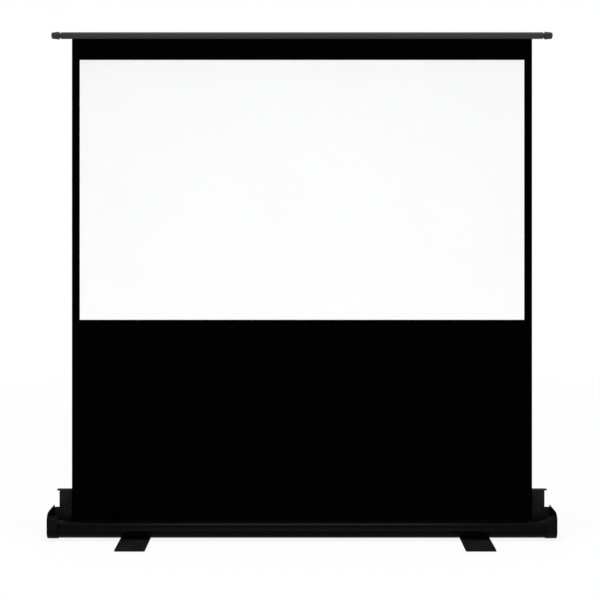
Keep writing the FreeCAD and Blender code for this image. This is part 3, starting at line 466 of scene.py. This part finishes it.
# Finish of each material slot of the record, apart from the cloth
SLOT_FINISHES: Dict[str, CoatFinish] = {
    "case_coat": CoatFinish(
        "case_powder_coat", dark=(0.0010, 0.0010, 0.0011), light=(0.0020, 0.0020, 0.0021),
        rough=(0.26, 0.30), specular=0.027,
    ),
    "cap_plastic": CoatFinish(
        "end_cap_plastic", dark=(0.0022, 0.0022, 0.0023), light=(0.0040, 0.0040, 0.0041),
        rough=(0.28, 0.33), specular=0.028,
    ),
    "lid_coat": CoatFinish(
        "lid_powder_coat", dark=(0.0110, 0.0113, 0.0127), light=(0.0182, 0.0186, 0.0208),
        rough=(0.44, 0.54), specular=0.01,
    ),
    "bar_coat": CoatFinish(
        "bar_black_anodising", dark=(0.0280, 0.0280, 0.0283), light=(0.0370, 0.0370, 0.0374),
        rough=(0.44, 0.46), grain=0.4 * MM, depth=0.001 * MM, lay=GrainLay.ALONG, specular=0.09,
    ),
    "knob_plastic": CoatFinish(
        "knob_plastic", dark=(0.0230, 0.0230, 0.0233), light=(0.0320, 0.0320, 0.0324),
        rough=(0.46, 0.54), specular=0.10,
    ),
    "rail_coat": CoatFinish(
        "rail_coat", dark=(0.0100, 0.0100, 0.0104), light=(0.0180, 0.0180, 0.0186),
        rough=(0.38, 0.48), specular=0.2,
    ),
    "lift_coat": CoatFinish(
        "lift_arm_coat", dark=(0.0100, 0.0100, 0.0104), light=(0.0180, 0.0180, 0.0186),
        rough=(0.36, 0.46), specular=0.25,
    ),
    "foot_coat": CoatFinish(
        "foot_textured_coat", dark=(0.0052, 0.0050, 0.0060), light=(0.0092, 0.0088, 0.0106),
        rough=(0.46, 0.56), grain=1.2 * MM, depth=0.12 * MM, specular=0.05,
    ),
    "pin_steel": CoatFinish(
        "zinc_plated_steel", dark=(0.36, 0.36, 0.37), light=(0.48, 0.48, 0.50),
        rough=(0.28, 0.42), grain=0.5 * MM, depth=0.01 * MM, specular=0.5, metallic=1.0,
    ),
    "roller_metal": CoatFinish(
        "mill_aluminium", dark=(0.50, 0.50, 0.51), light=(0.62, 0.62, 0.63),
        rough=(0.30, 0.44), grain=0.5 * MM, depth=0.01 * MM, specular=0.5, metallic=1.0, lay=GrainLay.ALONG,
    ),
    "nylon": CoatFinish(
        "natural_nylon", dark=(0.62, 0.60, 0.55), light=(0.72, 0.70, 0.65),
        rough=(0.42, 0.55), specular=0.4,
    ),
    "pad_rubber": CoatFinish(
        "foot_rubber", dark=(0.010, 0.010, 0.010), light=(0.018, 0.018, 0.018),
        rough=(0.7, 0.85), specular=0.15,
    ),
}


@lru_cache(maxsize=None)
def slot_material(slot: str) -> bpy.types.Material:
    """Give the material of a slot, which is made when it is first asked for."""
    return SLOT_FINISHES[slot].build()


@dataclass(frozen=True)
class PaintedLightFaces:
    """Front-facing faces inside a node that have the lighter finish of another slot, as painted light that
    falls on them.

    Attributes:
        slot: The slot whose finish they have.
        behind: Lowest Y of such a face.
        facing: How far its normal points to the front, at least, where 1 is straight.
    """

    slot: str
    behind: float
    facing: float = 0.7

    def dress(self, piece: bpy.types.Object) -> None:
        """Give a piece's faces with painted light their lighter finish.

        Args:
            piece: The piece.
        """
        piece.data.materials.append(slot_material(self.slot))
        for face in piece.data.polygons:
            if face.center.y > self.behind and face.normal.y < -self.facing:
                face.material_index = len(piece.data.materials) - 1


@dataclass
class RigidAssembly:
    """CAD nodes of one sub-assembly, shown with rounded edges and their own finishes.

    Attributes:
        name: The sub-assembly's name, for the log.
        edges: Edge radius of each node that is shown as a rounded copy.
        plain: Nodes that keep their CAD mesh.
        painted_light_faces: Faces with painted light of each rounded node that has them.
        segments: Segments of a rounded edge.
        sharp_angle: Least angle of an edge that is rounded.
        flat_angle: Triangles that meet at less than this become one face.
        merge_distance: Corners nearer than this become one.
    """

    name: str
    edges: Dict[str, float] = field(default_factory=dict)
    plain: List[str] = field(default_factory=list)
    painted_light_faces: Dict[str, PaintedLightFaces] = field(default_factory=dict)
    segments: int = 3
    sharp_angle: float = SMOOTH_BELOW
    flat_angle: float = math.radians(0.2)
    merge_distance: float = 0.005 * MM

    def _rounded_copy(self, node: str, radius: float) -> bpy.types.Object:
        """Copy a node's mesh, merge its triangles into faces and round its edges.

        Args:
            node: The CAD node's name.
            radius: The edge radius.

        Returns:
            The finished copy.
        """
        piece = bpy.data.objects.new(node + "_finished", frame["nodes"][node].data.copy())
        bpy.context.scene.collection.objects.link(piece)
        activate(piece)
        if piece.data.has_custom_normals:
            bpy.ops.mesh.customdata_custom_splitnormals_clear()
        bpy.ops.object.mode_set(mode="EDIT")
        bpy.ops.mesh.select_all(action="SELECT")
        bpy.ops.mesh.remove_doubles(threshold=self.merge_distance)
        bpy.ops.mesh.dissolve_limited(angle_limit=self.flat_angle)
        bpy.ops.object.mode_set(mode="OBJECT")
        bevel = piece.modifiers.new("edge", "BEVEL")
        bevel.width = radius
        bevel.segments = self.segments
        bevel.limit_method = "ANGLE"
        bevel.angle_limit = self.sharp_angle
        apply_modifier(piece, bevel.name)
        bpy.ops.object.shade_smooth_by_angle(angle=self.sharp_angle)
        piece.data.materials.clear()
        piece.data.materials.append(slot_material(node_slot(node)))
        # Faces with painted light get a lighter finish
        if node in self.painted_light_faces:
            self.painted_light_faces[node].dress(piece)
        return piece

    def build(self) -> None:
        """Dress every node of the sub-assembly."""
        for node, radius in self.edges.items():
            piece = self._rounded_copy(node, radius)
            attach(piece, node_body(node))
            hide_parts(node)
            LOG.info("%s: %s, edge %.2f mm", self.name, piece.name, radius / MM)
        for node in self.plain:
            for holder in frame["nodes"][node].material_slots:
                holder.material = slot_material(node_slot(node))
            LOG.info("%s: %s", self.name, node)


@dataclass
class ScreenCloth:
    """The raised cloth, its hem under the bar and the turns left on the roller.

    Attributes:
        side_border: Black border at each side of the picture area.
        top_border: Black band above it.
        picture_height: Height of the picture area.
        thickness: Thickness of the cloth.
        columns, rows: Cells across and up the cloth.
        curl: How far its side edges curl back, at most.
        curl_width: Width of the strip that curls.
        ripple: Height of its ripples.
        ripple_across: Turn of the ripples over a metre of width, in radians.
        ripple_slant: Turn of these over the height.
        ripple_up: Turn of the ripples that run up, over the height.
        hem_height: Height of the hem.
        hem_tuck: How far the hem stands above the cloth's top edge.
        hem_back: Distance of the hem behind the cloth, middle to middle, in thicknesses.
        hem_rows: Cells up the hem.
        roll_turns: Turns of cloth on the roller.
        roll_steps: Cells along the turns.
        roll_columns: Cells across them.
        roll_fall: How much nearer the axis their inner end is, in thicknesses.
        lift_stages: Stages of crossed arms in the lift; not used.
        black, white: Colours of the border and of the picture area.
        backing: Colour of the back, the hem and the roll.
        low, high: Corners of the cloth's box in the frame.
        width, height: Size of the cloth.
        depth: Y of its middle plane.
    """

    side_border: float = 31.3 * MM
    top_border: float = 83.3 * MM
    picture_height: float = 1035.5 * MM
    thickness: float = 0.5 * MM
    columns: int = 92
    rows: int = 98
    curl: float = 0.15 * MM
    curl_width: float = 45 * MM
    ripple: float = 0.10 * MM
    ripple_across: float = 7.0
    ripple_slant: float = 2.0
    ripple_up: float = 9.0
    hem_height: float = 22 * MM
    hem_tuck: float = 2.4 * MM
    hem_back: float = 1.6
    hem_rows: int = 3
    roll_turns: float = 1.6
    roll_steps: int = 120
    roll_columns: int = 2
    roll_fall: float = 0.9
    lift_stages: int = 2
    black: Colour = (0.0005, 0.0005, 0.0005)
    white: Colour = (0.90, 0.90, 0.90)
    backing: Colour = (0.0060, 0.0060, 0.0062)
    low: Vector = field(init=False)
    high: Vector = field(init=False)
    width: float = field(init=False)
    height: float = field(init=False)
    depth: float = field(init=False)

    def __post_init__(self) -> None:
        """Read the cloth's place from the frame."""
        self.low, self.high = (Vector(corner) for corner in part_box("screen_fabric"))
        self.width = self.high.x - self.low.x
        self.height = self.high.z - self.low.z
        self.depth = (self.low.y + self.high.y) / 2

    def _picture(self) -> PictureArea:
        """Place the picture area on the cloth.

        Returns:
            The picture area.
        """
        top = 1.0 - self.top_border / self.height
        side = self.side_border / self.width
        return PictureArea(self.white, (side, 1.0 - side), (top - self.picture_height / self.height, top))

    def _upright_grid(self, name: str, cells: Tuple[int, int], size: Span, middle: Point) -> bpy.types.Object:
        """Add an upright grid that faces the front.

        Args:
            name: The piece's name.
            cells: Cells across and up.
            size: Width and height of the grid.
            middle: Its centre.

        Returns:
            The grid, with its place in its mesh.
        """
        deselect_all()
        bpy.ops.mesh.primitive_grid_add(
            x_subdivisions=cells[0], y_subdivisions=cells[1], size=1.0, location=middle, rotation=UPRIGHT,
        )
        piece = bpy.context.object
        piece.name = name
        piece.scale = (*size, 1.0)
        apply_place(piece)
        return piece

    def _thicken(self, piece: bpy.types.Object, offset: float,
                 materials: Sequence[bpy.types.Material]) -> None:
        """Give a sheet its thickness and its materials.

        Args:
            piece: The sheet.
            offset: Solidify's offset, from -1 to 1.
            materials: That of the near side first. The last is on the far side and the rim.
        """
        for material in materials:
            piece.data.materials.append(material)
        solid = piece.modifiers.new("thickness", "SOLIDIFY")
        solid.thickness = self.thickness
        solid.offset = offset
        solid.material_offset = len(materials) - 1
        solid.material_offset_rim = len(materials) - 1
        apply_modifier(piece, solid.name)
        bpy.ops.object.shade_smooth_by_angle(angle=SMOOTH_BELOW)

    def build_cloth(self, front: bpy.types.Material, backing: bpy.types.Material) -> bpy.types.Object:
        """Make the cloth itself, taut, with faint ripples and side edges that curl back a little.

        Args:
            front: Material of the front.
            backing: Material of the back.

        Returns:
            The cloth.
        """
        middle = (0.0, self.depth, (self.low.z + self.high.z) / 2)
        cells = (self.columns, self.rows)
        cloth = self._upright_grid("screen_cloth", cells, (self.width, self.height), middle)
        half = self.width / 2
        for vertex in cloth.data.vertices:
            across = vertex.co.x
            up = (vertex.co.z - self.low.z) / self.height
            held = math.sin(math.pi * up)
            inset = max(0.0, 1.0 - (half - abs(across)) / self.curl_width)
            slanted = math.sin(across * self.ripple_across + up * self.ripple_slant)
            wave = slanted * math.sin(up * self.ripple_up + across)
            vertex.co.y += held * (self.curl * inset * inset + self.ripple * wave)
        self._thicken(cloth, 0.0, (front, backing))
        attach(cloth, "case")
        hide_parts("screen_fabric")
        return cloth

    def build_hem(self, backing: bpy.types.Material) -> bpy.types.Object:
        """Make the doubled strip behind the cloth's top edge, which hangs in the bar's slot.

        Args:
            backing: Material of the strip.

        Returns:
            The strip.
        """
        top = self.high.z + self.hem_tuck
        middle = (0.0, self.depth + self.thickness * self.hem_back, top - self.hem_height / 2)
        cells = (self.columns, self.hem_rows)
        hem = self._upright_grid("cloth_hem", cells, (self.width, self.hem_height), middle)
        self._thicken(hem, 0.0, (backing,))
        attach(hem, "top_bar")
        return hem

    def build_roll(self, backing: bpy.types.Material) -> bpy.types.Object:
        """Make the turns of cloth that stay on the roller, as a spiral sheet.

        Args:
            backing: Material of the turns.

        Returns:
            The roll.
        """
        low, high = (Vector(corner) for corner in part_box("fabric_roll"))
        centre = (low + high) / 2
        outer = (high.z - low.z) / 2 - self.thickness
        inner = outer - self.thickness * self.roll_fall
        length = math.pi * (outer + inner) * self.roll_turns
        cells = (self.roll_columns, self.roll_steps)
        roll = self._upright_grid("cloth_roll", cells, (self.width, length), tuple(centre))
        bottom = centre.z - length / 2
        for vertex in roll.data.vertices:
            share = (vertex.co.z - bottom) / length
            radius = inner + (outer - inner) * share
            turn = math.tau * self.roll_turns * share
            vertex.co.y = centre.y + radius * math.cos(turn)
            vertex.co.z = centre.z + radius * math.sin(turn)
        self._thicken(roll, 1.0, (backing,))
        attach(roll, "roller")
        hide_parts("fabric_roll")
        return roll

    def build(self) -> None:
        """Make the cloth, its hem and its roll, and give the cloth a mesh of its own."""
        size = (self.width, self.height)
        front = ClothFinish("screen_cloth_front", self.black, size, self._picture()).build()
        backing = ClothFinish("screen_cloth_backing", self.backing, size).build()
        cloth = self.build_cloth(front, backing)
        pieces = [cloth, self.build_hem(backing), self.build_roll(backing)]
        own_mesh(cloth)
        for piece in pieces:
            LOG.info("cloth: %s, %d faces", piece.name, len(piece.data.polygons))


@dataclass(frozen=True)
class Lamp:
    """A soft rectangular lamp.

    Attributes:
        name: The lamp's name.
        place: Its centre.
        target: The point that it faces.
        size: Its width and height.
        power: Its power in watts.
    """

    name: str
    place: Point
    target: Point
    size: Span
    power: float

    def build(self) -> None:
        """Add the lamp to the scene."""
        data = bpy.data.lights.new(self.name, "AREA")
        data.shape = "RECTANGLE"
        data.size, data.size_y = self.size
        data.energy = self.power
        lamp = bpy.data.objects.new(self.name, data)
        lamp.location = self.place
        lamp.rotation_euler = (Vector(self.target) - Vector(self.place)).to_track_quat("-Z", "Y").to_euler()
        bpy.context.scene.collection.objects.link(lamp)


LAMPS = (
    Lamp("overhead_softbox", place=(0.0, -0.5, 8.0), target=(0.0, -0.4, 0.0), size=(6.0, 1.2), power=440.0),
    Lamp("front_softbox", place=(0.0, -4.9, 1.05), target=(0.0, 0.0, 1.2), size=(5.0, 1.9), power=106.0),
)


@dataclass
class Studio:
    """Camera at the photograph's viewpoint, soft lamps and a pale floor.

    Attributes:
        distance: Camera to the cloth's plane.
        eye: Camera height.
        focal_px: Focal length in pixels of the photograph.
        axis_px: Where the level view axis meets the photograph.
        photo_px: Side of the square photograph.
        sensor_mm: Width of the camera's sensor.
        fill: Strength of the world's light on the object, where 1 is the background's.
        floor_size: Side of the square floor.
        floor_colour: Colour of the floor.
        floor_roughness: Roughness of the floor.
        floor_lift: Share of plain white in the floor at the object.
        floor_fade: Distances from the middle at which that share starts to grow and at which it is 1.
    """

    distance: float = 4.0
    eye: float = 1.3196
    focal_px: float = 1003.5
    axis_px: Span = (302.0, 205.0)
    photo_px: float = 600.0
    sensor_mm: float = 36.0
    fill: float = 0.40
    floor_size: float = 40.0
    floor_colour: Colour = (0.92, 0.92, 0.92)
    floor_roughness: float = 0.9
    floor_lift: float = 0.88
    floor_fade: Span = (1.6, 4.5)

    def build_camera(self, cloth_plane: float) -> None:
        """Place the level camera, with the photograph's view axis.

        Args:
            cloth_plane: Y of the cloth's plane.
        """
        data = bpy.data.cameras.new("photo_camera")
        data.sensor_width = self.sensor_mm
        data.lens = self.focal_px / self.photo_px * self.sensor_mm
        middle = self.photo_px / 2
        data.shift_x = (middle - self.axis_px[0]) / self.photo_px
        data.shift_y = (self.axis_px[1] - middle) / self.photo_px
        camera = bpy.data.objects.new("photo_camera", data)
        camera.location = (0.0, cloth_plane - self.distance, self.eye)
        camera.rotation_euler = UPRIGHT
        bpy.context.scene.collection.objects.link(camera)
        bpy.context.scene.camera = camera

    @staticmethod
    def _seen(tree: bpy.types.NodeTree) -> bpy.types.NodeSocket:
        """Mask of the rays that show the background: camera, glossy and transmission rays.

        Args:
            tree: The node tree of the world or the floor.

        Returns:
            The mask's socket.
        """
        rays = tree.nodes.new("ShaderNodeLightPath")
        seen = rays.outputs["Is Camera Ray"]
        for kind in ("Is Glossy Ray", "Is Transmission Ray"):
            seen = math_node(tree, "MAXIMUM", seen, rays.outputs[kind])
        return seen

    def build_world(self) -> None:
        """White background, with a softer fill on the object."""
        world = bpy.data.worlds.new("studio_world")
        world.use_nodes = True
        bpy.context.scene.world = world
        tree = world.node_tree
        background = tree.nodes["Background"]
        background.inputs["Color"].default_value = (1.0, 1.0, 1.0, 1.0)
        strength = map_range(tree, self._seen(tree), target=(self.fill, 1.0))
        tree.links.new(strength, background.inputs["Strength"])

    def _fading_lift(self, tree: bpy.types.NodeTree) -> bpy.types.NodeSocket:
        """Share of plain white in the floor, which grows to all of it away from the object.

        Args:
            tree: The floor's node tree.

        Returns:
            The share's socket.
        """
        place = tree.nodes.new("ShaderNodeTexCoord")
        reach = tree.nodes.new("ShaderNodeVectorMath")
        reach.operation = "LENGTH"
        tree.links.new(place.outputs["Object"], reach.inputs[0])
        return map_range(tree, reach.outputs["Value"], self.floor_fade, (self.floor_lift, 1.0))

    def build_floor(self) -> None:
        """Pale floor that keeps a faint shadow of the object."""
        deselect_all()
        bpy.ops.mesh.primitive_plane_add(size=self.floor_size, location=(0.0, 0.0, 0.0))
        floor = bpy.context.object
        floor.name = "studio_floor"
        material = bpy.data.materials.new("studio_floor")
        material.use_nodes = True
        tree = material.node_tree
        shader = tree.nodes["Principled BSDF"]
        shader.inputs["Base Color"].default_value = (*self.floor_colour, 1.0)
        shader.inputs["Roughness"].default_value = self.floor_roughness
        shader.inputs["Specular IOR Level"].default_value = 0.0
        glow = tree.nodes.new("ShaderNodeEmission")
        share = math_node(tree, "MULTIPLY", self._seen(tree), self._fading_lift(tree))
        mix = tree.nodes.new("ShaderNodeMixShader")
        tree.links.new(share, mix.inputs["Fac"])
        tree.links.new(shader.outputs["BSDF"], mix.inputs[1])
        tree.links.new(glow.outputs["Emission"], mix.inputs[2])
        tree.links.new(mix.outputs["Shader"], tree.nodes["Material Output"].inputs["Surface"])
        floor.data.materials.append(material)

    def build(self, cloth_plane: float) -> None:
        """Set up the view, the light and the floor.

        Args:
            cloth_plane: Y of the cloth's plane.
        """
        bpy.context.scene.view_settings.view_transform = "Standard"
        self.build_camera(cloth_plane)
        self.build_world()
        self.build_floor()
        for lamp in LAMPS:
            lamp.build()


# Sub-assemblies, with the edge radius of each node that is rounded
ASSEMBLIES: List[RigidAssembly] = [
    RigidAssembly(
        "case",
        edges={
            "case_body": 0.35 * MM, "end_cap_left": 1.2 * MM, "end_cap_right": 1.2 * MM,
            "roller_bracket_left": 0.4 * MM, "roller_bracket_right": 0.4 * MM, "lift_base_rail": 0.4 * MM,
            "case_hinge_leaves": 0.3 * MM, "end_cap_screws": 0.6 * MM, "bracket_screws": 0.6 * MM,
            "base_rail_screws": 0.6 * MM, "base_pivot_pin": 0.6 * MM,
        },
        plain=["spring_spindle", "idle_spindle", "roller_spring", "hinge_pins", "foot_pivot_bolts",
               "foot_pivot_washers", "foot_pivot_nuts"],
        # The case's inner back wall gets the lighter lid coat, as painted light falling into the open case
        painted_light_faces={"case_body": PaintedLightFaces("lid_coat", behind=40 * MM)},
    ),
    RigidAssembly(
        "roller",
        edges={"roller_plug_left": 0.5 * MM, "roller_plug_right": 0.5 * MM},
        plain=["roller_tube"],
    ),
    RigidAssembly(
        "lift",
        edges={
            "lower_arm_a": 0.7 * MM, "lower_arm_b": 0.7 * MM,
            "upper_arm_a": 0.7 * MM, "upper_arm_b": 0.7 * MM,
            "lower_cross_pin": 0.35 * MM, "right_knee_pin": 0.35 * MM, "left_knee_pin": 0.35 * MM,
            "upper_cross_pin": 0.35 * MM, "base_slide_pin": 0.35 * MM, "top_slide_pin": 0.35 * MM,
        },
        plain=["base_slide_roller", "top_slide_roller"],
    ),
    RigidAssembly(
        "top bar",
        edges={
            "top_bar": 0.3 * MM, "bar_knob_left": 0.4 * MM, "bar_knob_right": 0.4 * MM, "top_rail": 0.4 * MM,
            "top_pivot_pin": 0.35 * MM,
        },
        plain=["fabric_clamp_strip"],
    ),
    RigidAssembly("lid", edges={"lid_panel": 0.4 * MM, "lid_hinge_leaves": 0.3 * MM}),
    RigidAssembly(
        "feet",
        edges={
            "left_foot_plate": 1.5 * MM, "right_foot_plate": 1.5 * MM,
            "left_foot_pads": 1.0 * MM, "right_foot_pads": 1.0 * MM,
        },
    ),
]


def main() -> None:
    """Build every sub-assembly in order and report it."""
    logging.basicConfig(level=logging.INFO, format="%(message)s")
    cloth = ScreenCloth()
    Studio().build(cloth.depth)
    for assembly in ASSEMBLIES:
        assembly.build()
    cloth.build()


if __name__ == "__main__":
    main()
